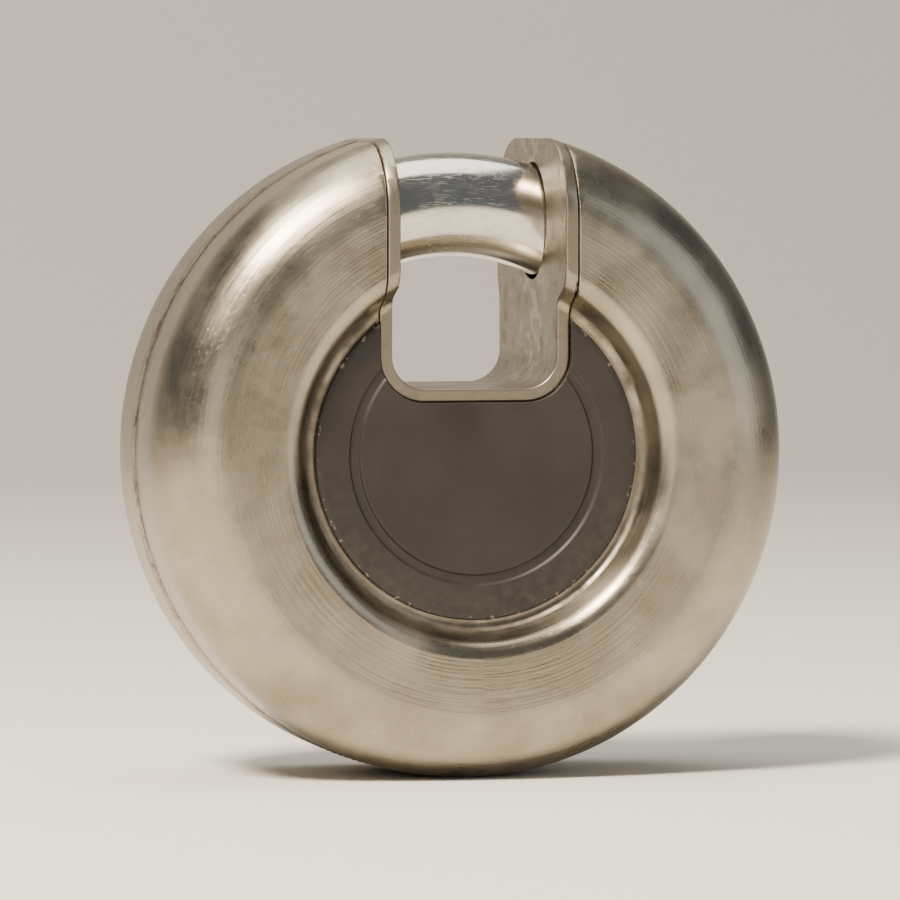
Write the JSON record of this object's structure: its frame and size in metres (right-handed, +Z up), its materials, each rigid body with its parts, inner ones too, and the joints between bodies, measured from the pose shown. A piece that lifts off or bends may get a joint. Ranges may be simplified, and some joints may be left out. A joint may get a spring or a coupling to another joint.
{
  "type": "disc padlock",
  "caption": "Round keyed disc padlock with welded drawn steel shells, a dark recessed centre, a window for a hasp staple and an arc shackle that the key turns across it.",
  "frame": {"origin": "middle of the disc, on the axis the shackle turns about, halfway through the thickness", "axes": "+X to the right seen from the front, +Y through the lock to its back, +Z up towards the window and shackle"},
  "size_m": [0.0502, 0.02, 0.049],
  "materials": {
    "shell_steel": "satin, turned lines",
    "weld_steel": "weld bead, heat tinted",
    "liner_steel": "pressed, dull",
    "dark_inlay": "satin black, spun",
    "core_zinc": "as cast",
    "rivet_steel": "zinc plated",
    "hardened_steel": "hardened, ground",
    "pin_steel": "turned",
    "shackle_steel": "polished",
    "rotor_steel": "blanked, oiled",
    "brass": "turned",
    "pin_brass": "turned nickel silver",
    "spring_steel": "drawn wire"
  },
  "bodies": {
    "case": {"front_shell": "shell_steel", "back_shell": "shell_steel", "rim_weld_left": "weld_steel", "rim_weld_right": "weld_steel", "window_liner": "liner_steel", "front_inlay": "dark_inlay", "core_front": "core_zinc", "core_back": "core_zinc", "core_rivets": "rivet_steel", "drill_guard": "hardened_steel", "pivot_pin": "pin_steel", "pivot_washer": "pin_steel", "cylinder_housing": "brass", "chamber_cover": "brass", "cylinder_pin": "pin_steel", "driver_pin_1": "pin_steel", "pin_spring_1": "spring_steel", "driver_pin_2": "pin_steel", "pin_spring_2": "spring_steel", "driver_pin_3": "pin_steel", "pin_spring_3": "spring_steel", "driver_pin_4": "pin_steel", "pin_spring_4": "spring_steel"},
    "shackle": {"shackle_bar": "shackle_steel", "rotor_plate": "rotor_steel", "drive_fork": "rotor_steel", "rotor_rivets": "rivet_steel"},
    "plug": {"plug": "brass", "cam": "hardened_steel", "cam_screw": "pin_steel", "keyway_shield": "hardened_steel", "key_pin_1": "pin_brass", "key_pin_2": "pin_brass", "key_pin_3": "pin_brass", "key_pin_4": "pin_brass"}
  },
  "joints": [
    {"name": "shackle_turn", "type": "hinge", "parent": "case", "child": "shackle", "pos_m": [0, 0, 0], "axis": [0, -1, 0], "range_deg": [0, 60]},
    {"name": "plug_turn", "type": "hinge", "parent": "case", "child": "plug", "pos_m": [0, 0, 0], "axis": [0, 0, -1], "range_deg": [0, 120]}
  ],
  "couplings": [
    {"joint": "plug_turn", "follows": "shackle_turn", "ratio": 2}
  ]
}
